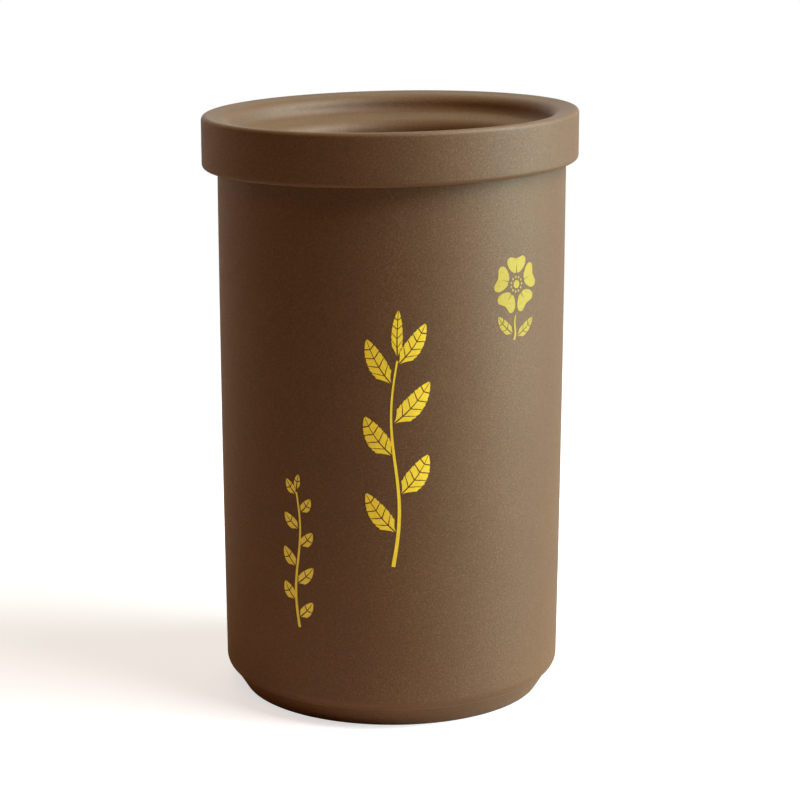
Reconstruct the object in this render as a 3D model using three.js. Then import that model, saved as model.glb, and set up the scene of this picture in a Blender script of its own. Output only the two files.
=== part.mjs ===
// A lidded stoneware tea canister: a straight jar on a foot ring, a cap lid with a sunken, stepped top
// that takes the foot of a second canister, and the silicone ring that seals the lid in the mouth.
// Millimetres, +Z up. The jar stands on z = 0, and every piece is turned about the Z axis.

import * as THREE from "three";

// Jar: outside of the wall
const JAR_HEIGHT = 148; // foot to rim
const MOUTH_DIAMETER = 92.6; // outside of the wall at the rim
const BASE_DIAMETER = 90.9; // outside of the wall above the rounded bottom edge
const BOTTOM_ROUND = 3.6;
const RIM_ROUND = 1.2;

// Jar: thickness and inside
const JAR_WALL = 4.5;
const JAR_FLOOR = 5;
const INSIDE_ROUND = 7;

// Jar: foot ring
const FOOT_DIAMETER = 81.4;
const FOOT_HEIGHT = 4.8;
const FOOT_WIDTH = 5;
const FOOT_HOLLOW = 3.5; // depth of the hollow inside the ring
const FOOT_ROUND = 0.8;
const FOOT_CORNER_ROUND = 0.5; // where the foot meets the jar

// Lid: cap that goes over the rim
const SKIRT_WALL = 3.2;
const SKIRT_DEPTH = 4.8; // from the seat down over the jar's wall
const SKIRT_ROUND = 2.2;
const SKIRT_LIP_ROUND = 0.8; // inner edge of the skirt
const SEAT_ROUND = 0.8; // inside corners of the channel that takes the rim
const CROWN_HEIGHT = 9.2; // from the seat up to the outer edge of the crown
const CROWN_WIDTH = 6.7; // outer side to the inner edge of the crown
const CROWN_FALL = 1.2; // how far the crown falls towards the middle
const CROWN_ROUND = 1.2;
const CROWN_INNER_ROUND = 3.3;

// Lid: sunken top
const STEP_DEPTH = 4; // inner edge of the crown down to the ledge
const STEP_LEAN = 1.1; // how far the step leans in on its way down
const STEP_ROUND = 3.3; // hollow between the step and the ledge
const LEDGE_DROP = 2.5; // fall of the ledge towards the middle
const LEDGE_ROUND = 4; // from the ledge down into the dish
const DISH_DRAFT = 0.8; // how far the dish narrows towards its floor
const DISH_ROUND = 3;
const DISH_FLOOR = 4; // thickness under the dish

// Lid: plug that carries the seal
const PLUG_WALL = 4;
const PLUG_LIP = 1.8; // below the groove
const PLUG_ROUND = 1.2;
const GROOVE_DROP = 2; // seat down to the groove
const GROOVE_HEIGHT = 5;
const GROOVE_DEPTH = 1.3;

// Seal: ring with fins that press on the bore
const SEAL_SPACE = 2; // between the plug and the bore
const SEAL_BAND = 1.9; // from the groove's floor out to the foot of the fins
const FIN_COUNT = 3;
const FIN_ROOT = 0.9;
const FIN_TIP = 0.5;

// Clearances
const SEAT_GAP = 0.3; // lid above the jar's rim
const SKIRT_CLEARANCE = 0.5; // skirt round the jar's wall
const GROOVE_GAP = 0.25; // seal to its groove
const FIN_GAP = 0.25; // fins to the bore

// Fineness of the turned surfaces
const TURN_STEPS = 64;
const ARC_STEP = Math.PI / 6;
const MOST_ROUND = 0.95; // share of an edge that the rounds at its two ends may take

const mouthRadius = MOUTH_DIAMETER / 2;
const baseRadius = BASE_DIAMETER / 2;
const boreRadius = mouthRadius - JAR_WALL;
const plugRadius = boreRadius - SEAL_SPACE;
const grooveRadius = plugRadius - GROOVE_DEPTH;

// Length that a corner's round may take off an edge, which it shares with the round at the other end.
function roundRoom(edge, round, roundAtOtherEnd = 0) {
  return (edge.length() * MOST_ROUND * round) / (round + roundAtOtherEnd);
}

// Points along a turned outline. Each corner is [radius, height, round]: the round is an arc of that
// radius, or of the largest radius that its two edges leave room for.
function turnedOutline(corners) {
  const points = corners.map(([radius, height]) => new THREE.Vector2(radius, height));
  const rounds = corners.map(([, , round]) => round);
  return corners.flatMap(([, , round], i) => {
    const corner = points[i];
    if (!round) return [corner];
    const toBefore = points[i - 1].clone().sub(corner);
    const toAfter = points[i + 1].clone().sub(corner);
    const room = Math.min(
      roundRoom(toBefore, round, rounds[i - 1]),
      roundRoom(toAfter, round, rounds[i + 1]),
    );
    toBefore.normalize();
    toAfter.normalize();
    const halfAngle = Math.acos(toBefore.dot(toAfter)) / 2;
    const setback = Math.min(round / Math.tan(halfAngle), room);
    const radius = setback * Math.tan(halfAngle);
    const middle = toBefore.clone().add(toAfter).normalize();
    const centre = corner.clone().addScaledVector(middle, radius / Math.sin(halfAngle));
    const start = corner.clone().addScaledVector(toBefore, setback).sub(centre).angle();
    const end = corner.clone().addScaledVector(toAfter, setback).sub(centre).angle();
    const clockwise = toBefore.cross(toAfter) > 0;
    const arc = new THREE.EllipseCurve(centre.x, centre.y, radius, radius, start, end, clockwise);
    return arc.getPoints(Math.ceil((Math.PI - 2 * halfAngle) / ARC_STEP));
  });
}

// A named piece turned from an outline that runs outwards underneath, up the outside and back in on top.
function turnedPiece(name, outline, material) {
  const geometry = new THREE.LatheGeometry(outline, TURN_STEPS);
  geometry.rotateX(Math.PI / 2);
  const mesh = new THREE.Mesh(geometry, material);
  mesh.name = name;
  return mesh;
}

// Jar: foot ring, rounded bottom edge, wall that widens slightly to the rim, bore and floor.
function makeJar(clay) {
  const footRadius = FOOT_DIAMETER / 2;
  const footInside = footRadius - FOOT_WIDTH;
  const floorHeight = FOOT_HOLLOW + JAR_FLOOR;
  const outline = turnedOutline([
    [0, FOOT_HOLLOW],
    [footInside, FOOT_HOLLOW, FOOT_ROUND],
    [footInside, 0, FOOT_ROUND],
    [footRadius, 0, FOOT_ROUND],
    [footRadius, FOOT_HEIGHT, FOOT_CORNER_ROUND],
    [baseRadius, FOOT_HEIGHT, BOTTOM_ROUND],
    [mouthRadius, JAR_HEIGHT, RIM_ROUND],
    [boreRadius, JAR_HEIGHT, RIM_ROUND],
    [baseRadius - JAR_WALL, floorHeight, INSIDE_ROUND],
    [0, floorHeight],
  ]);
  return turnedPiece("jar_body", outline, clay);
}

// Lid: measured from the seat, the roof of the channel that drops over the jar's rim.
function makeLid(clay) {
  const skirtInside = mouthRadius + SKIRT_CLEARANCE;
  const lidRadius = skirtInside + SKIRT_WALL;
  const crownInside = lidRadius - CROWN_WIDTH;
  const stepTop = CROWN_HEIGHT - CROWN_FALL;
  const ledgeHeight = stepTop - STEP_DEPTH;
  const dishRadius = plugRadius - PLUG_WALL;
  const grooveBottom = -GROOVE_DROP - GROOVE_HEIGHT;
  const plugBottom = grooveBottom - PLUG_LIP;
  const dishBottom = plugBottom + DISH_FLOOR;
  const outline = turnedOutline([
    [0, plugBottom],
    [plugRadius, plugBottom, PLUG_ROUND],
    [plugRadius, grooveBottom],
    [grooveRadius, grooveBottom],
    [grooveRadius, -GROOVE_DROP],
    [plugRadius, -GROOVE_DROP],
    [plugRadius, 0, SEAT_ROUND],
    [skirtInside, 0, SEAT_ROUND],
    [skirtInside, -SKIRT_DEPTH, SKIRT_LIP_ROUND],
    [lidRadius, -SKIRT_DEPTH, SKIRT_ROUND],
    [lidRadius, CROWN_HEIGHT, CROWN_ROUND],
    [crownInside, stepTop, CROWN_INNER_ROUND],
    [crownInside - STEP_LEAN, ledgeHeight, STEP_ROUND],
    [dishRadius, ledgeHeight - LEDGE_DROP, LEDGE_ROUND],
    [dishRadius - DISH_DRAFT, dishBottom, DISH_ROUND],
    [0, dishBottom],
  ]);
  return turnedPiece("lid", outline, clay);
}

// Seal: a band in the plug's groove with fins reaching out to the bore, measured from the same seat.
function makeSeal(silicone) {
  const bandInside = grooveRadius + GROOVE_GAP;
  const bandOutside = grooveRadius + SEAL_BAND;
  const finRadius = boreRadius - FIN_GAP;
  const bandTop = -GROOVE_DROP - GROOVE_GAP;
  const bandBottom = -GROOVE_DROP - GROOVE_HEIGHT + GROOVE_GAP;
  const finPitch = (bandTop - bandBottom) / FIN_COUNT;
  const outline = [
    [bandInside, bandTop],
    [bandInside, bandBottom],
    [bandOutside, bandBottom],
  ];
  for (let i = 0; i < FIN_COUNT; i++) {
    const finMiddle = bandBottom + (i + 1 / 2) * finPitch;
    outline.push([bandOutside, finMiddle - FIN_ROOT / 2]);
    outline.push([finRadius, finMiddle - FIN_TIP / 2]);
    outline.push([finRadius, finMiddle + FIN_TIP / 2]);
    outline.push([bandOutside, finMiddle + FIN_ROOT / 2]);
  }
  outline.push([bandOutside, bandTop]);
  outline.push(outline[0]);
  return turnedPiece("seal_ring", turnedOutline(outline), silicone);
}

const jarClay = new THREE.MeshStandardMaterial({ color: 0x7b6049, roughness: 0.82, metalness: 0 });
const lidClay = new THREE.MeshStandardMaterial({ color: 0x7d624b, roughness: 0.8, metalness: 0 });
const silicone = new THREE.MeshStandardMaterial({ color: 0xdcd6c8, roughness: 0.5, metalness: 0 });

const lidGroup = new THREE.Group();
lidGroup.position.z = JAR_HEIGHT + SEAT_GAP;
lidGroup.add(makeLid(lidClay));
lidGroup.add(makeSeal(silicone));

const canister = new THREE.Group();
canister.add(makeJar(jarClay));
canister.add(lidGroup);

export default canister;
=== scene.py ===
import math

import bpy
import numpy as np
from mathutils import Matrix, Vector, noise


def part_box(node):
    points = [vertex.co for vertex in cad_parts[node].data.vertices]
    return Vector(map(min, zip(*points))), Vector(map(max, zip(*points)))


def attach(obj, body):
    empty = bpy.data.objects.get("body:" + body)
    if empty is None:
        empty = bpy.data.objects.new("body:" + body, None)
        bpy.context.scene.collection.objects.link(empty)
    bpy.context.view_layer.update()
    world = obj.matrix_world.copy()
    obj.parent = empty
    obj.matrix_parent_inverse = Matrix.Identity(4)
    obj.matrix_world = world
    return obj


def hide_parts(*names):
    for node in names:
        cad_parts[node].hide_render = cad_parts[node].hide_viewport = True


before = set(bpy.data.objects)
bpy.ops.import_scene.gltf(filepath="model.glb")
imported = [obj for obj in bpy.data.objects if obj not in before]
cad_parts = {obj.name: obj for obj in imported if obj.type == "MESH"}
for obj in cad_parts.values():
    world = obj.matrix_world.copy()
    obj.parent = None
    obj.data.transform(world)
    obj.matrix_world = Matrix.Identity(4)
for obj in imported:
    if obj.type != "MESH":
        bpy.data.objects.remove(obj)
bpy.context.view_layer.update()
scene = bpy.context.scene
scene.view_settings.view_transform = "Standard"


# View: the canister stands about 0.64 m in front of a long lens and is seen from a little above, so
# that the eye looks across the lid into its sunken top and down on to the foot. The lens and the film
# are in millimetres and the pitch is in radians.
MM = 0.001
VIEW_DISTANCE = 641.4 * MM
VIEW_HEIGHT = 223.1 * MM
VIEW_PITCH = 0.2217
VIEW_LENS = 108.8
VIEW_FILM = 36
VIEW_SHIFT = 0.0104

camera_data = bpy.data.cameras.new("view")
camera_data.sensor_width = VIEW_FILM
camera_data.lens = VIEW_LENS
camera_data.shift_x = VIEW_SHIFT
camera = bpy.data.objects.new("view", camera_data)
camera.location = (0, -VIEW_DISTANCE, VIEW_HEIGHT)
camera.rotation_euler = (math.pi / 2 - VIEW_PITCH, 0, 0)
scene.collection.objects.link(camera)
scene.camera = camera


# Jar: a straight body of iron-rich stoneware, thrown on the wheel, trimmed underneath to a hollow,
# sloping foot and fired without glaze. It stands on the foot's ring, and its rim carries the lid.
jar_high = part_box("jar_body")[1]
rim_height = jar_high.z
mouth_radius = jar_high.x
BASE_RADIUS = 45.45 * MM
WALL_THICKNESS = 4.5 * MM
SWELL = 0.25 * MM
RIM_ROUND = 1.2 * MM
BOTTOM_ROUND = 3.6 * MM
BOTTOM_EDGE = 6.525 * MM
FOOT_RADIUS = 40.4 * MM
FOOT_TOP_RADIUS = 43.7 * MM
FOOT_INSIDE = 35.7 * MM
FOOT_HEIGHT = 5.3 * MM
FOOT_HOLLOW = 3.5 * MM
FOOT_ROUND = 0.8 * MM
FOOT_CORNER_ROUND = 0.4 * MM
INSIDE_FLOOR = 8.5 * MM
INSIDE_ROUND = 7 * MM
TURNING_MARK = 0.02 * MM
TURNING_PITCH = 3.2 * MM
TURNING_WANDER = 0.4
SPIN_STEPS = 256
ARC_STEP = math.radians(9)
LONGEST_EDGE = 1.6 * MM
SHARP_EDGE = math.radians(40)
ON_AXIS = 1e-6


def rounded_outline(corners):
    """Rows of radius, height, crooked, and wear and shade along an outline.

    Each corner is (radius, height, round, crooked). The last value runs from 1 on an edge, which is
    worn paler, to -1 in a hollow, which is given painted shade.
    """
    rows = []
    for i, (radius, height, round_off, crooked) in enumerate(corners):
        corner = Vector((radius, height))
        if not round_off:
            rows.append((radius, height, crooked, 0))
            continue
        to_before = (Vector(corners[i - 1][:2]) - corner).normalized()
        to_after = (Vector(corners[i + 1][:2]) - corner).normalized()
        half_angle = to_before.angle(to_after) / 2
        setback = round_off / math.tan(half_angle)
        centre = corner + (to_before + to_after).normalized() * round_off / math.sin(half_angle)
        start = corner + to_before * setback - centre
        turn = math.pi - 2 * half_angle
        outward = 1 if to_before.cross(to_after) < 0 else -1
        steps = max(2, math.ceil(turn / ARC_STEP))
        for step in range(steps + 1):
            angle = outward * turn * step / steps
            x = centre.x + start.x * math.cos(angle) - start.y * math.sin(angle)
            y = centre.y + start.x * math.sin(angle) + start.y * math.cos(angle)
            rows.append((x, y, crooked, outward * math.sin(math.pi * step / steps)))
    return np.array(rows)


def fine_outline(rows):
    """The same outline with its long edges cut into short ones."""
    pieces = []
    for here, there in zip(rows, rows[1:]):
        cuts = max(1, math.ceil(math.dist(here[:2], there[:2]) / LONGEST_EDGE))
        for cut in range(cuts):
            pieces.append(here + (there - here) * cut / cuts)
    pieces.append(rows[-1])
    return np.array(pieces)


def mesh_piece(name, places, faces):
    """A new piece from its points and faces, smooth apart from its sharp edges."""
    mesh = bpy.data.meshes.new(name)
    mesh.from_pydata(places, [], faces)
    mesh.shade_smooth()
    mesh.set_sharp_from_angle(angle=SHARP_EDGE)
    piece = bpy.data.objects.new(name, mesh)
    scene.collection.objects.link(piece)
    return piece


def turned_piece(name, rows, reshape):
    """A piece spun about the upright axis from its outline, then reshaped by hand."""
    angles = np.arange(SPIN_STEPS) * 2 * math.pi / SPIN_STEPS
    places, wear_and_shade, rings = [], [], []
    for radius, height, crooked, wear_and_shade_value in rows:
        count = 1 if radius < ON_AXIS else SPIN_STEPS
        rings.append((len(places), count))
        for angle in angles[:count]:
            places.append(reshape(radius, height, crooked, angle))
            wear_and_shade.append(wear_and_shade_value)
    faces = []
    for (low, low_count), (high, high_count) in zip(rings, rings[1:]):
        for here in range(SPIN_STEPS):
            there = (here + 1) % SPIN_STEPS
            corners = [low + here % low_count, low + there % low_count]
            corners += [high + there % high_count, high + here % high_count]
            faces.append(list(dict.fromkeys(corners)))
    piece = mesh_piece(name, places, faces)
    piece.data.attributes.new("wear_and_shade", "FLOAT", "POINT").data.foreach_set("value", wear_and_shade)
    return piece


def hump(share):
    """Rises from 0 at both ends to 1 in the middle."""
    return 4 * share * (1 - share)


def turning_mark(height, angle):
    """Faint rings that the potter's fingers and rib leave up the wall."""
    x = math.cos(angle) * TURNING_WANDER
    y = math.sin(angle) * TURNING_WANDER
    return TURNING_MARK * noise.noise((x, y, height / TURNING_PITCH))


def swell(height):
    """How far the wall bellies out between foot and rim."""
    return SWELL * hump(min(max(height / rim_height, 0), 1))


def jar_wall(height):
    """Outside radius of the jar's wall."""
    up = (height - FOOT_HEIGHT) / (rim_height - FOOT_HEIGHT)
    return BASE_RADIUS + (mouth_radius - BASE_RADIUS) * up + swell(height)


def jar_place(radius, height, crooked, angle):
    """A point of the spun jar, with the swell and the turning marks. No part of it is crooked."""
    share = min(1, radius / FOOT_INSIDE)
    spun = radius + share * (swell(height) + turning_mark(height, angle))
    return spun * math.cos(angle), spun * math.sin(angle), height


jar_outline = rounded_outline([
    (0, FOOT_HOLLOW, 0, 0),
    (FOOT_INSIDE, FOOT_HOLLOW, FOOT_ROUND, 0),
    (FOOT_INSIDE, 0, FOOT_ROUND, 0),
    (FOOT_RADIUS, 0, FOOT_ROUND, 0),
    (FOOT_TOP_RADIUS, FOOT_HEIGHT, FOOT_CORNER_ROUND, 0),
    (BASE_RADIUS, BOTTOM_EDGE, BOTTOM_ROUND, 0),
    (mouth_radius, rim_height, RIM_ROUND, 0),
    (mouth_radius - WALL_THICKNESS, rim_height, RIM_ROUND, 0),
    (BASE_RADIUS - WALL_THICKNESS, INSIDE_FLOOR, INSIDE_ROUND, 0),
    (0, INSIDE_FLOOR, 0, 0),
])
jar = turned_piece("jar", fine_outline(jar_outline), jar_place)

CLAY = (0.0935, 0.0413, 0.0105, 1)
CLAY_DEEP = (0.08, 0.0325, 0.0078, 1)
CLAY_PALE = (0.1126, 0.0556, 0.0178, 1)
CLAY_SOOT = (0.036, 0.0155, 0.0042, 1)
CLAY_SAND = (0.2, 0.122, 0.066, 1)
CLAY_GRIT = (0.42, 0.34, 0.26, 1)
CLAY_GLOSS = 0.85
CLAY_SHEEN = 0.09
CLAY_SHEEN_ROUGHNESS = 0.5
CLAY_ROUGHNESS = (0.56, 0.66)

# Each noise is (features per metre, detail, roughness), and each span is the stretch of it that counts.
CLOUD_NOISE = (38, 5, 0.55)
CLOUD_SPAN = (0.35, 0.65)
MOTTLE_NOISE = (420, 3, 0.6)
MOTTLE_SPAN = (0.42, 0.75)
MOTTLE_SHARE = 0.55
GRAIN_NOISE = (2300, 2, 0.75)
SOOT_SPAN = (0.3, 0.5)
SOOT_SHARE = 0.58
SAND_SPAN = (0.5, 0.7)
SAND_SHARE = 0.43
ROUGH_SPAN = (0.3, 0.7)
GRITS_PER_METRE = 330
GRIT_SPAN = (0.93, 1)
GRIT_SIZE = 0.09
# How much paler the worn edges grow, and how much painted shade darkens the hollows.
WEAR_AND_SHADE_SHARE = 0.35
LINE_NOISE = (900, 3, 0.6)
LINE_STRETCH = (0.06, 0.06, 1)
LINE_STRENGTH = 0.5
LINE_DEPTH = 0.012 * MM
GRAIN_STRENGTH = 0.6
GRAIN_DEPTH = 0.016 * MM


def new_finish(name):
    """A new material, its node tree, its shader and the piece's own coordinates."""
    material = bpy.data.materials.new(name)
    material.use_nodes = True
    tree = material.node_tree
    coords = tree.nodes.new("ShaderNodeTexCoord").outputs["Object"]
    return material, tree, tree.nodes["Principled BSDF"], coords


def noise_node(tree, coords, scale, detail, roughness):
    """Noise over the piece."""
    made = tree.nodes.new("ShaderNodeTexNoise")
    made.inputs["Scale"].default_value = scale
    made.inputs["Detail"].default_value = detail
    made.inputs["Roughness"].default_value = roughness
    tree.links.new(coords, made.inputs["Vector"])
    return made.outputs["Fac"]


def range_node(tree, source, span, result):
    """Maps a value from one span on to another, held at both ends."""
    made = tree.nodes.new("ShaderNodeMapRange")
    for socket, value in zip(("From Min", "From Max", "To Min", "To Max"), (*span, *result)):
        made.inputs[socket].default_value = value
    tree.links.new(source, made.inputs["Value"])
    return made.outputs["Result"]


def math_node(tree, operation, first, second):
    """One sum on two values."""
    made = tree.nodes.new("ShaderNodeMath")
    made.operation = operation
    tree.links.new(first, made.inputs[0])
    tree.links.new(second, made.inputs[1])
    return made.outputs["Value"]


def mix_node(tree, share, first, second):
    """Mixes two colours, each a plain colour or another node's output."""
    made = tree.nodes.new("ShaderNodeMix")
    made.data_type = "RGBA"
    for socket, value in (("Factor_Float", share), ("A_Color", first), ("B_Color", second)):
        target = next(s for s in made.inputs if s.identifier == socket)
        if isinstance(value, bpy.types.NodeSocket):
            tree.links.new(value, target)
        else:
            target.default_value = value
    return next(s for s in made.outputs if s.identifier == "Result_Color")


def bump_node(tree, source, strength, depth):
    """Raises the surface by a value."""
    made = tree.nodes.new("ShaderNodeBump")
    made.inputs["Strength"].default_value = strength
    made.inputs["Distance"].default_value = depth
    tree.links.new(source, made.inputs["Height"])
    return made


def clay(name):
    """Unglazed brown stoneware: mottled, finely grained, with pale grit, faint turning lines, paler
    worn edges and painted shade in its hollows.
    """
    material, tree, shader, coords = new_finish(name)
    shader.inputs["Specular IOR Level"].default_value = CLAY_GLOSS
    shader.inputs["Sheen Weight"].default_value = CLAY_SHEEN
    shader.inputs["Sheen Roughness"].default_value = CLAY_SHEEN_ROUGHNESS
    cloud = noise_node(tree, coords, *CLOUD_NOISE)
    mottle = noise_node(tree, coords, *MOTTLE_NOISE)
    grain = noise_node(tree, coords, *GRAIN_NOISE)
    body = mix_node(tree, range_node(tree, cloud, CLOUD_SPAN, (0, 1)), CLAY_DEEP, CLAY)
    body = mix_node(tree, range_node(tree, mottle, MOTTLE_SPAN, (0, MOTTLE_SHARE)), body, CLAY_PALE)
    body = mix_node(tree, range_node(tree, grain, SOOT_SPAN, (SOOT_SHARE, 0)), body, CLAY_SOOT)
    body = mix_node(tree, range_node(tree, grain, SAND_SPAN, (0, SAND_SHARE)), body, CLAY_SAND)
    grit_cells = tree.nodes.new("ShaderNodeTexVoronoi")
    grit_cells.inputs["Scale"].default_value = GRITS_PER_METRE
    tree.links.new(coords, grit_cells.inputs["Vector"])
    grit_size = range_node(tree, grit_cells.outputs["Color"], GRIT_SPAN, (0, GRIT_SIZE))
    grit = math_node(tree, "LESS_THAN", grit_cells.outputs["Distance"], grit_size)
    body = mix_node(tree, grit, body, CLAY_GRIT)
    # Rounded edges are worn a little paler. Hollows and inside corners are painted darker clay: painted
    # shade where shade falls.
    wear_and_shade = tree.nodes.new("ShaderNodeAttribute")
    wear_and_shade.attribute_name = "wear_and_shade"
    on_edge = range_node(tree, wear_and_shade.outputs["Fac"], (0, 1), (0, WEAR_AND_SHADE_SHARE))
    painted_hollow_shade = range_node(tree, wear_and_shade.outputs["Fac"], (-1, 0), (WEAR_AND_SHADE_SHARE, 0))
    body = mix_node(tree, on_edge, body, CLAY_PALE)
    body = mix_node(tree, painted_hollow_shade, body, CLAY_DEEP)
    tree.links.new(body, shader.inputs["Base Color"])
    tree.links.new(range_node(tree, mottle, ROUGH_SPAN, CLAY_ROUGHNESS), shader.inputs["Roughness"])
    stretch = tree.nodes.new("ShaderNodeMapping")
    stretch.inputs["Scale"].default_value = LINE_STRETCH
    tree.links.new(coords, stretch.inputs["Vector"])
    lines = noise_node(tree, stretch.outputs["Vector"], *LINE_NOISE)
    line_bump = bump_node(tree, lines, LINE_STRENGTH, LINE_DEPTH)
    grain_bump = bump_node(tree, grain, GRAIN_STRENGTH, GRAIN_DEPTH)
    tree.links.new(line_bump.outputs["Normal"], grain_bump.inputs["Normal"])
    tree.links.new(grain_bump.outputs["Normal"], shader.inputs["Normal"])
    return material


jar.data.materials.append(clay("jar_stoneware"))
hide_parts("jar_body")
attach(jar, "jar")


# Gold print: a tea sprig in front, with a trail of small leaves and a blossom beside it, screen-printed
# in gold ink on transfers, laid on the wall and fired on. The clay shows in the ribs and veins that the
# screen leaves open.
PRINT_RISE = 0.07 * MM
PRINT_SINK = 0.04 * MM

# The print is drawn flat, in millimetres. Shares of a leaf or petal run from 0 at its foot to 1 at
# its tip.
RIB_GAP = 0.42
RIB_TAPER = 0.7
VEIN_GAP = 0.34
VEIN_SLANT = 0.2
VEIN_STEPS = 8
BLADE_STEPS = 5
LEAF_SHAPE = (0.6, 0.8)
LEAF_START = 0.03
LEAF_END = 0.985
LEAF_TEETH = 11
TOOTH_DEPTH = 0.1
THINNEST = 0.05
STEM_STEPS = 33
STEM_TOP_WIDTH = 0.45
STALK_GAP = 0.3
DISC_POINTS = 5


def on_wall(across, height, rise):
    """Point on the jar's wall: across runs round it from the front, rise stands out from it."""
    radius = jar_wall(height)
    turn = across / radius
    return (radius + rise) * math.sin(turn), -(radius + rise) * math.cos(turn), height


def border(grid):
    """What lies round the edge of a grid, in order."""
    return np.concatenate((grid[0, :-1], grid[:-1, -1], grid[-1, :0:-1], grid[:0:-1, 0])).tolist()


def print_on_wall(name, patches, ink):
    """Thin closed plates of gold on the wall.

    Each patch is a grid of points drawn flat in millimetres: across from the front, and height.
    """
    places, faces = [], []
    for patch in patches:
        up, right = patch[-1, 0] - patch[0, 0], patch[0, -1] - patch[0, 0]
        if right[0] * up[1] < right[1] * up[0]:
            patch = patch[:, ::-1]
        rows, columns = patch.shape[:2]
        top = np.arange(rows * columns).reshape(rows, columns) + len(places)
        under = top + rows * columns
        for rise in (PRINT_RISE, -PRINT_SINK):
            for across, height in patch.reshape(-1, 2) * MM:
                places.append(on_wall(across, height, rise))
        for row in range(rows - 1):
            for column in range(columns - 1):
                here = np.s_[row:row + 2, column:column + 2]
                a, b, d, c = top[here].ravel().tolist()
                faces.append((a, b, c, d))
                a, b, d, c = under[here].ravel().tolist()
                faces.append((d, c, b, a))
        edge = list(zip(border(top), border(under)))
        for here, there in zip(edge, edge[1:] + edge[:1]):
            faces.append((here[0], here[1], there[1], there[0]))
    piece = mesh_piece(name, places, faces)
    piece.data.materials.append(ink)
    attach(piece, "jar")


def half_blade(up, width, shape):
    """Half the width of a leaf or petal part way up it. Two powers shape its foot and its tip."""
    foot, tip = shape
    widest = foot / (foot + tip)
    return width / 2 * (up / widest) ** foot * ((1 - up) / (1 - widest)) ** tip


def leaf(base, tip, width, bend, cuts):
    """A leaf from base to tip: two toothed halves, open along the rib and cut at the side veins."""
    base, along = np.array(base), np.array(tip) - np.array(base)
    length = math.hypot(*along)
    side = np.array((-along[1], along[0])) / length
    half_gap = VEIN_GAP / length / 2

    def leaf_point(hand, at_rib, out):
        up = at_rib + VEIN_SLANT * out * (1 - at_rib)
        tooth = 1 - TOOTH_DEPTH * (1 - up * LEAF_TEETH % 1)
        rib = RIB_GAP / 2 * (1 - RIB_TAPER * up)
        blade = max(half_blade(up, width, LEAF_SHAPE) * tooth - rib, THINNEST)
        return base + along * up + side * (hand * (rib + out * blade) + bend * hump(up))

    patches = []
    edges = np.linspace(LEAF_START, LEAF_END, cuts + 1)
    for hand in (-1, 1):
        for start, end in zip(edges, edges[1:]):
            start += half_gap if start > LEAF_START else 0
            end -= half_gap if end < LEAF_END else 0
            patches.append(np.array([
                [leaf_point(hand, at_rib, out) for out in np.linspace(0, 1, BLADE_STEPS + 1)]
                for at_rib in np.linspace(start, end, VEIN_STEPS + 1)
            ]))
    return patches


def stroke(path, foot_width, top_width):
    """A brushed line that thins out along its path."""
    run = np.gradient(path, axis=0)
    side = np.stack((-run[:, 1], run[:, 0]), 1) / np.hypot(run[:, 0], run[:, 1])[:, None]
    half = np.linspace(foot_width, top_width, len(path))[:, None] / 2
    return [np.stack((path - side * half, path, path + side * half), 1)]


def stem_path(foot, top, sway):
    """Points up a stem that sways to one side and back to the other."""
    up = np.linspace(0, 1, STEM_STEPS)[:, None]
    path = np.array(foot) + (np.array(top) - np.array(foot)) * up
    path[:, 0] += sway * np.sin(2 * math.pi * up[:, 0])
    return path


def leafy_stem(path, foot_width, leaves, cuts):
    """A stem with a leaf at each (share of the stem, tip across, tip height, width, bend)."""
    patches = stroke(path, foot_width, STEM_TOP_WIDTH)
    for share, across, height, width, bend in leaves:
        joint = path[round(share * (STEM_STEPS - 1))]
        away = np.array((across, height)) - joint
        clear = foot_width / 2 + STALK_GAP
        base = joint + away / math.hypot(*away) * clear
        patches += leaf(base, (across, height), width, bend, cuts)
    return patches


def disc(middle, radius):
    """A round dot: a square grid drawn in to a circle."""
    steps = np.linspace(-1, 1, DISC_POINTS)
    a, b = np.meshgrid(steps, steps)
    inside = np.stack((a * np.sqrt(1 - b * b / 2), b * np.sqrt(1 - a * a / 2)), 2)
    return [np.array(middle) + radius * inside]


GOLD = (1, 0.88, 0.08, 1)
GOLD_DULL = (0.9, 0.76, 0.055, 1)
# The trail's gold is painted paler and brighter than the sprig's: painted light that makes up for the
# shade on the canister's left.
SHADE_SIDE_GOLD_LIGHTENED = (1, 1, 0.19, 1)
SHADE_SIDE_GOLD_LIGHTENED_DULL = (0.95, 0.92, 0.14, 1)
# The blossom's gold is painted darker than the sprig's: painted shade that takes back the strong light
# on the canister's right.
LIT_SIDE_GOLD_DARKENED = (0.4, 0.345, 0.05, 1)
LIT_SIDE_GOLD_DARKENED_DULL = (0.34, 0.285, 0.032, 1)
GOLD_METAL = 0.1
GOLD_ROUGHNESS = (0.42, 0.56)
LAY_NOISE = (1500, 3, 0.65)
LAY_SPAN = (0.35, 0.7)
LAY_STRENGTH = 0.4
LAY_DEPTH = 0.02 * MM


def gold_ink(name, bright, dull):
    """Fired gold ink: a yellow lustre, unevenly laid, with a fine tooth."""
    material, tree, shader, coords = new_finish(name)
    shader.inputs["Metallic"].default_value = GOLD_METAL
    lay = noise_node(tree, coords, *LAY_NOISE)
    tone = mix_node(tree, range_node(tree, lay, LAY_SPAN, (0, 1)), bright, dull)
    tree.links.new(tone, shader.inputs["Base Color"])
    tree.links.new(range_node(tree, lay, ROUGH_SPAN, GOLD_ROUGHNESS), shader.inputs["Roughness"])
    tooth = bump_node(tree, lay, LAY_STRENGTH, LAY_DEPTH)
    tree.links.new(tooth.outputs["Normal"], shader.inputs["Normal"])
    return material


thick_ink = gold_ink("fired_gold", GOLD, GOLD_DULL)
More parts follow.
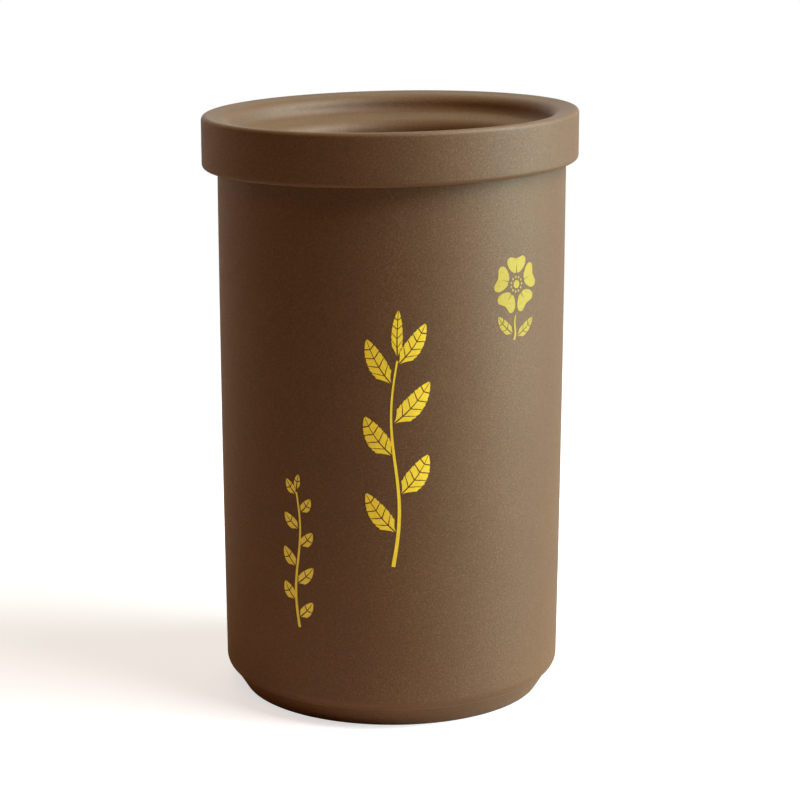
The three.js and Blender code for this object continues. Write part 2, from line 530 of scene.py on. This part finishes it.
# Gold for the trail, with painted light against the shade on the left.
shade_side_lightened_ink = gold_ink("fired_gold_lightened_for_shade", SHADE_SIDE_GOLD_LIGHTENED, SHADE_SIDE_GOLD_LIGHTENED_DULL)
# Gold for the blossom, with painted shade against the strong light on the right.
lit_side_darkened_ink = gold_ink("fired_gold_darkened_for_light", LIT_SIDE_GOLD_DARKENED, LIT_SIDE_GOLD_DARKENED_DULL)

SPRIG_FOOT = (0.4, 45)
SPRIG_TOP = (1.4, 99)
SPRIG_SWAY = 1.3
SPRIG_STEM_WIDTH = 1
SPRIG_CUTS = 5
SPRIG_LEAVES = [
    (0.16, -6.6, 64.5, 5.2, 0.7),
    (0.34, 9.4, 74.5, 5.6, -0.8),
    (0.52, -6.9, 84.5, 5.6, 0.8),
    (0.7, 9.7, 93.5, 5.4, -0.8),
    (0.88, -6.4, 104.5, 5, 0.7),
    (0.98, 8.6, 108.5, 4.6, -0.7),
    (1, 1.7, 112, 3, 0.2),
]
sprig_path = stem_path(SPRIG_FOOT, SPRIG_TOP, SPRIG_SWAY)
sprig = leafy_stem(sprig_path, SPRIG_STEM_WIDTH, SPRIG_LEAVES, SPRIG_CUTS)
print_on_wall("sprig_print", sprig, thick_ink)

TRAIL_FOOT = (-25.2, 26.6)
TRAIL_TOP = (-25.9, 63)
TRAIL_SWAY = -0.9
TRAIL_STEM_WIDTH = 0.8
TRAIL_CUTS = 2
TRAIL_LEAVES = [
    (0.06, -21.2, 33.8, 3.1, -0.3),
    (0.19, -29.8, 38.6, 3.2, 0.3),
    (0.32, -21, 43.2, 3.2, -0.3),
    (0.45, -29.9, 48, 3.2, 0.3),
    (0.58, -21.2, 52.6, 3.1, -0.3),
    (0.71, -29.7, 57.2, 3, 0.3),
    (0.84, -21.8, 61.6, 2.8, -0.3),
    (0.96, -29, 66.2, 2.5, 0.3),
    (1, -25.3, 67.8, 1.9, 0.1),
]
trail_path = stem_path(TRAIL_FOOT, TRAIL_TOP, TRAIL_SWAY)
trail = leafy_stem(trail_path, TRAIL_STEM_WIDTH, TRAIL_LEAVES, TRAIL_CUTS)
print_on_wall("trail_print", trail, shade_side_lightened_ink)

BLOSSOM = np.array((35, 116.4))
EYE_RADIUS = 1.05
STAMENS = 11
STAMEN_REACH = 1.9
STAMEN_RADIUS = 0.3
PETALS = 5
PETAL_FROM = 2.7
PETAL_TO = 7.4
PETAL_WIDTH = 6.689
PETAL_SHAPE = (0.65, 0.3)
PETAL_START = 0.06
PETAL_END = 0.96
PETAL_ROWS = 13
PETAL_COLUMNS = 7
PETAL_NOTCH = 0.7
NOTCH_POWER = 4
PETAL_SLIT = 0.32
SLIT_REACH = 0.6
BLOSSOM_FOOT = (34.4, 102)
BLOSSOM_TOP = (34.9, 108.4)
BLOSSOM_SWAY = 0.25
BLOSSOM_STEM_WIDTH = 0.8
BLOSSOM_CUTS = 3
BLOSSOM_LEAF_WIDTH = 3
BLOSSOM_BEND = 0.4
LEFT_LEAF = ((34, 103.6), (28.8, 108.6))
RIGHT_LEAF = ((35.3, 102.8), (41.6, 107))


def pointing(turn):
    """The direction at an angle, flat on the wall."""
    return np.array((math.cos(turn), math.sin(turn)))


def half_petal(turn, hand):
    """One half of the petal that points a given way, notched at its end and slit along its foot."""
    axis = pointing(turn)
    side = hand * np.array((-axis[1], axis[0]))
    rows = []
    for up in np.linspace(PETAL_START, PETAL_END, PETAL_ROWS):
        half = half_blade(up, PETAL_WIDTH, PETAL_SHAPE)
        slit = PETAL_SLIT / 2 * max(0, 1 - up / SLIT_REACH)
        row = []
        for out in np.linspace(0, 1, PETAL_COLUMNS):
            notch = PETAL_NOTCH * (1 - out) * up ** NOTCH_POWER
            reach = PETAL_FROM + (PETAL_TO - PETAL_FROM) * up - notch
            row.append(BLOSSOM + axis * reach + side * (slit + out * (half - slit)))
        rows.append(row)
    return np.array(rows)


blossom = disc(BLOSSOM, EYE_RADIUS)
for stamen in range(STAMENS):
    turn = 2 * math.pi * stamen / STAMENS
    blossom += disc(BLOSSOM + STAMEN_REACH * pointing(turn), STAMEN_RADIUS)
for petal in range(PETALS):
    turn = math.pi / 2 + 2 * math.pi * petal / PETALS
    blossom += [half_petal(turn, -1), half_petal(turn, 1)]
blossom_path = stem_path(BLOSSOM_FOOT, BLOSSOM_TOP, BLOSSOM_SWAY)
blossom += stroke(blossom_path, BLOSSOM_STEM_WIDTH, STEM_TOP_WIDTH)
blossom += leaf(*LEFT_LEAF, BLOSSOM_LEAF_WIDTH, BLOSSOM_BEND, BLOSSOM_CUTS)
blossom += leaf(*RIGHT_LEAF, BLOSSOM_LEAF_WIDTH, -BLOSSOM_BEND, BLOSSOM_CUTS)
print_on_wall("blossom_print", blossom, lit_side_darkened_ink)


# Lid: one stoneware cap, thrown upside down and fired with the jar. Its skirt drops over the rim and
# its hollow plug goes inside. The sunken top is stepped, and the crown has dried a little out of true.
lid_low, lid_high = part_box("lid")
lid_radius = lid_high.x
plug_bottom = lid_low.z
SEAT_GAP = 0.3 * MM
SKIRT_GAP = 0.5 * MM
SKIRT_DEPTH = 4.65 * MM
SKIRT_ROUND = 1.2 * MM
SKIRT_LIP_ROUND = 0.8 * MM
SEAT_ROUND = 0.8 * MM
CROWN_HEIGHT = 9.2 * MM
CROWN_WIDTH = 6.7 * MM
CROWN_FALL = 1.2 * MM
CROWN_ROUND = 1.2 * MM
CROWN_INNER_ROUND = 3.3 * MM
STEP_DEPTH = 4 * MM
STEP_LEAN = 1.1 * MM
STEP_ROUND = 3.3 * MM
LEDGE_DROP = 2.5 * MM
LEDGE_ROUND = 4 * MM
PLUG_RADIUS = 39.8 * MM
PLUG_WALL = 4 * MM
PLUG_ROUND = 1.2 * MM
DISH_FLOOR = 4 * MM
DISH_DRAFT = 0.8 * MM
DISH_ROUND = 3 * MM
GROOVE_DROP = 2 * MM
GROOVE_HEIGHT = 5 * MM
GROOVE_DEPTH = 1.3 * MM
CROWN_LEAN = 0.0205
SKIRT_LEAN = 0.025
LID_NOD = 0.01
LID_SHIFT = -0.45 * MM

seat_height = rim_height + SEAT_GAP
crown_height = seat_height + CROWN_HEIGHT
skirt_edge = seat_height - SKIRT_DEPTH
skirt_inside = mouth_radius + SKIRT_GAP
crown_inside = lid_radius - CROWN_WIDTH
step_top = crown_height - CROWN_FALL
ledge_height = step_top - STEP_DEPTH
dish_radius = PLUG_RADIUS - PLUG_WALL
dish_bottom = plug_bottom + DISH_FLOOR
groove_top = seat_height - GROOVE_DROP
groove_bottom = groove_top - GROOVE_HEIGHT
groove_radius = PLUG_RADIUS - GROOVE_DEPTH


def lid_place(radius, height, crooked, angle):
    """A point of the spun lid. Where it is crooked, it leans, nods and sits a little to one side."""
    spun = radius + turning_mark(height, angle) * min(1, radius / dish_radius)
    x = spun * math.cos(angle)
    y = spun * math.sin(angle)
    depth = (crown_height - height) / (crown_height - skirt_edge)
    lean = CROWN_LEAN + (SKIRT_LEAN - CROWN_LEAN) * depth
    return x + crooked * LID_SHIFT, y, height + crooked * (lean * x + LID_NOD * y)


lid_outline = rounded_outline([
    (0, plug_bottom, 0, 0),
    (PLUG_RADIUS, plug_bottom, PLUG_ROUND, 0),
    (PLUG_RADIUS, groove_bottom, 0, 0),
    (groove_radius, groove_bottom, 0, 0),
    (groove_radius, groove_top, 0, 0),
    (PLUG_RADIUS, groove_top, 0, 0),
    (PLUG_RADIUS, seat_height, SEAT_ROUND, 0),
    (skirt_inside, seat_height, SEAT_ROUND, 0),
    (skirt_inside, skirt_edge, SKIRT_LIP_ROUND, 1),
    (lid_radius, skirt_edge, SKIRT_ROUND, 1),
    (lid_radius, crown_height, CROWN_ROUND, 1),
    (crown_inside, step_top, CROWN_INNER_ROUND, 1),
    (crown_inside - STEP_LEAN, ledge_height, STEP_ROUND, 1),
    (dish_radius, ledge_height - LEDGE_DROP, LEDGE_ROUND, 1),
    (dish_radius - DISH_DRAFT, dish_bottom, DISH_ROUND, 1),
    (0, dish_bottom, 0, 1),
])
lid = turned_piece("lid_cap", fine_outline(lid_outline), lid_place)
lid.data.materials.append(clay("lid_stoneware"))
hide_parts("lid")
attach(lid, "lid")


# Seal ring: moulded silicone, stretched into the groove round the lid's plug. Its three fins press on
# the bore, hold the lid and keep the tea dry.
seal_low, seal_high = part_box("seal_ring")
fin_radius = seal_high.x
FIN_COUNT = 3
FIN_ROOT = 0.9 * MM
FIN_TIP = 0.5 * MM
FIN_ROUND = 0.2 * MM
BAND_INSIDE = 38.75 * MM
BAND_OUTSIDE = 40.4 * MM
BAND_ROUND = 0.3 * MM

fin_pitch = (seal_high.z - seal_low.z) / FIN_COUNT
seal_corners = [
    (BAND_INSIDE, seal_high.z - BAND_ROUND, 0, 0),
    (BAND_INSIDE, seal_low.z, BAND_ROUND, 0),
    (BAND_OUTSIDE, seal_low.z, BAND_ROUND, 0),
]
for fin in range(FIN_COUNT):
    middle = seal_low.z + (fin + 1 / 2) * fin_pitch
    seal_corners.append((BAND_OUTSIDE, middle - FIN_ROOT / 2, 0, 0))
    seal_corners.append((fin_radius, middle - FIN_TIP / 2, FIN_ROUND, 0))
    seal_corners.append((fin_radius, middle + FIN_TIP / 2, FIN_ROUND, 0))
    seal_corners.append((BAND_OUTSIDE, middle + FIN_ROOT / 2, 0, 0))
seal_corners.append((BAND_OUTSIDE, seal_high.z, BAND_ROUND, 0))
seal_corners.append((BAND_INSIDE, seal_high.z, BAND_ROUND, 0))
seal_corners.append((BAND_INSIDE, seal_high.z - BAND_ROUND, 0, 0))


def seal_place(radius, height, crooked, angle):
    """A point of the spun ring, which is true all round."""
    return radius * math.cos(angle), radius * math.sin(angle), height


seal = turned_piece("seal", fine_outline(rounded_outline(seal_corners)), seal_place)

SILICONE = (0.62, 0.58, 0.5, 1)
SILICONE_DUSTY = (0.5, 0.46, 0.38, 1)
SILICONE_MILKY = 0.3
SILICONE_DEPTH = (1.2 * MM, 1 * MM, 0.8 * MM)
SILICONE_ROUGHNESS = (0.38, 0.55)
DUST_NOISE = (700, 4, 0.65)
DUST_SPAN = (0.45, 0.75)
DUST_SHARE = 0.7
DUST_STRENGTH = 0.3
DUST_DEPTH = 0.02 * MM

silicone, tree, shader, coords = new_finish("seal_silicone")
shader.inputs["Subsurface Weight"].default_value = SILICONE_MILKY
shader.inputs["Subsurface Radius"].default_value = SILICONE_DEPTH
shader.inputs["Subsurface Scale"].default_value = 1
dust = noise_node(tree, coords, *DUST_NOISE)
dusted = range_node(tree, dust, DUST_SPAN, (0, DUST_SHARE))
tree.links.new(mix_node(tree, dusted, SILICONE, SILICONE_DUSTY), shader.inputs["Base Color"])
tree.links.new(range_node(tree, dust, ROUGH_SPAN, SILICONE_ROUGHNESS), shader.inputs["Roughness"])
dust_bump = bump_node(tree, dust, DUST_STRENGTH, DUST_DEPTH)
tree.links.new(dust_bump.outputs["Normal"], shader.inputs["Normal"])
seal.data.materials.append(silicone)
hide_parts("seal_ring")
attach(seal, "seal")


# Floor: a wide floor of pale painted board that the canister stands on. It takes a soft shadow close
# by and runs out to white. The light that it throws back up on the clay is warm, and strongest near
# the foot.
FLOOR_REACH = 9
FLOOR_PALE = (0.54, 0.56, 0.68, 1)
FLOOR_LIFT = 0.64
FLOOR_SHINE = 0.38
SHADOW_REACH = 0.34
WHITE_REACH = 0.62
NEAR_BOUNCE = (0.69, 0.49, 0.375, 1)
NEAR_REACH = 0.055
FAR_BOUNCE = (0.5, 0.345, 0.25, 1)
FAR_REACH = 0.15


def mix_shader(tree, share, first, second):
    """Mixes two shaders by a value."""
    made = tree.nodes.new("ShaderNodeMixShader")
    tree.links.new(share, made.inputs["Fac"])
    tree.links.new(first, made.inputs[1])
    tree.links.new(second, made.inputs[2])
    return made.outputs["Shader"]


def mirror_ray(tree, ray):
    """1 for what is seen in gloss or through glass."""
    return math_node(tree, "MAXIMUM", ray.outputs["Is Glossy Ray"], ray.outputs["Is Transmission Ray"])


floor_corners = [(-FLOOR_REACH, -FLOOR_REACH, 0), (FLOOR_REACH, -FLOOR_REACH, 0)]
floor_corners += [(FLOOR_REACH, FLOOR_REACH, 0), (-FLOOR_REACH, FLOOR_REACH, 0)]
floor = mesh_piece("floor", floor_corners, [(0, 1, 2, 3)])

floor_paint, tree, shader, coords = new_finish("floor_paint")
tree.nodes.remove(shader)
ray = tree.nodes.new("ShaderNodeLightPath")
by_eye = ray.outputs["Is Camera Ray"]
reach = tree.nodes.new("ShaderNodeVectorMath")
reach.operation = "LENGTH"
tree.links.new(coords, reach.inputs[0])
place = tree.nodes.new("ShaderNodeSeparateXYZ")
tree.links.new(coords, place.inputs["Vector"])

pale = tree.nodes.new("ShaderNodeBsdfDiffuse")
pale.inputs["Color"].default_value = FLOOR_PALE
lift = tree.nodes.new("ShaderNodeEmission")
tree.links.new(range_node(tree, by_eye, (0, 1), (0, FLOOR_LIFT)), lift.inputs["Strength"])
near = tree.nodes.new("ShaderNodeAddShader")
tree.links.new(pale.outputs["BSDF"], near.inputs[0])
tree.links.new(lift.outputs["Emission"], near.inputs[1])
white = tree.nodes.new("ShaderNodeEmission")
white.inputs["Strength"].default_value = 1
away = range_node(tree, reach.outputs["Value"], (SHADOW_REACH, WHITE_REACH), (0, 1))
seen_floor = mix_shader(tree, away, near.outputs["Shader"], white.outputs["Emission"])

bounce = tree.nodes.new("ShaderNodeBsdfDiffuse")
farther = range_node(tree, reach.outputs["Value"], (NEAR_REACH, FAR_REACH), (0, 1))
tree.links.new(mix_node(tree, farther, NEAR_BOUNCE, FAR_BOUNCE), bounce.inputs["Color"])
behind = range_node(tree, place.outputs["Y"], (0, SHADOW_REACH), (0, FLOOR_SHINE))
mirrored = math_node(tree, "MULTIPLY", mirror_ray(tree, ray), behind)
seen = math_node(tree, "MAXIMUM", by_eye, mirrored)
painted = mix_shader(tree, seen, bounce.outputs["BSDF"], seen_floor)
tree.links.new(painted, tree.nodes["Material Output"].inputs["Surface"])
floor.data.materials.append(floor_paint)


# Light: two large soft boxes on the right, one low and one high, light the canister from the side.
# Three weak ones hang behind it, on its left and at its back left. The backdrop is white, and shows in
# the clay as a sheen along its edges.
BOX_SIZE = 0.8
BOX_AIM = Vector((0, 0, 0.08))
BACKDROP_GLOW = 0.05
BACKDROP_WARM = (1, 0.85, 0.65, 1)
BACKDROP_WHITE = (1, 1, 1, 1)
BACKDROP_SIDE = (0.3, 0.95, 0)
BACKDROP_FROM = 0.4
BACKDROP_WRAP = 0.7
BACKDROP_LOW = 0.4
BACKDROP_TOP = 0.6

# Each soft box has its place in metres, its power in watts and its colour.
SOFT_BOXES = {
    "low_box": ((1.26, -0.11, 0.39), 20.4, (0.8, 1, 0.87)),
    "high_box": ((0.82, -0.3, 1.05), 23.1, (1, 0.9, 0.78)),
    "back_box": ((0, 0.65, 1.2), 3.7, (1, 1, 0.62)),
    "left_box": ((-0.56, -0.325, 1.2), 3.5, (1, 0.42, 0.05)),
    "rim_box": ((-1, 0.7, 0.45), 1.7, (1, 0.5, 0.25)),
}
for name, (box_place, power, colour) in SOFT_BOXES.items():
    lamp = bpy.data.lights.new(name, "AREA")
    lamp.shape = "SQUARE"
    lamp.size = BOX_SIZE
    lamp.energy = power
    lamp.color = colour
    box = bpy.data.objects.new(name, lamp)
    box.location = box_place
    box.rotation_euler = (BOX_AIM - Vector(box_place)).to_track_quat("-Z", "Y").to_euler()
    scene.collection.objects.link(box)

room = bpy.data.worlds.new("room")
room.use_nodes = True
tree = room.node_tree
coords = tree.nodes.new("ShaderNodeTexCoord").outputs["Generated"]
direction = tree.nodes.new("ShaderNodeSeparateXYZ")
tree.links.new(coords, direction.inputs["Vector"])
ray = tree.nodes.new("ShaderNodeLightPath")
by_eye = ray.outputs["Is Camera Ray"]
warm_backdrop = tree.nodes["Background"]
warm_backdrop.inputs["Color"].default_value = BACKDROP_WARM
glow = range_node(tree, direction.outputs["Y"], (0, 1), (0, BACKDROP_GLOW))
tree.links.new(glow, warm_backdrop.inputs["Strength"])

white_backdrop = tree.nodes.new("ShaderNodeBackground")
white_backdrop.inputs["Color"].default_value = BACKDROP_WHITE
towards_backdrop = tree.nodes.new("ShaderNodeVectorMath")
towards_backdrop.operation = "DOT_PRODUCT"
towards_backdrop.inputs[1].default_value = BACKDROP_SIDE
tree.links.new(coords, towards_backdrop.inputs[0])
behind = range_node(tree, towards_backdrop.outputs["Value"], (BACKDROP_FROM, BACKDROP_WRAP), (0, 1))
low_down = range_node(tree, direction.outputs["Z"], (BACKDROP_LOW, BACKDROP_TOP), (1, 0))
low_backdrop = math_node(tree, "MULTIPLY", behind, low_down)
tree.links.new(math_node(tree, "MAXIMUM", by_eye, low_backdrop), white_backdrop.inputs["Strength"])
seen = math_node(tree, "MAXIMUM", by_eye, mirror_ray(tree, ray))
warm, white = warm_backdrop.outputs["Background"], white_backdrop.outputs["Background"]
backdrop = mix_shader(tree, seen, warm, white)
tree.links.new(backdrop, tree.nodes["World Output"].inputs["Surface"])
scene.world = room
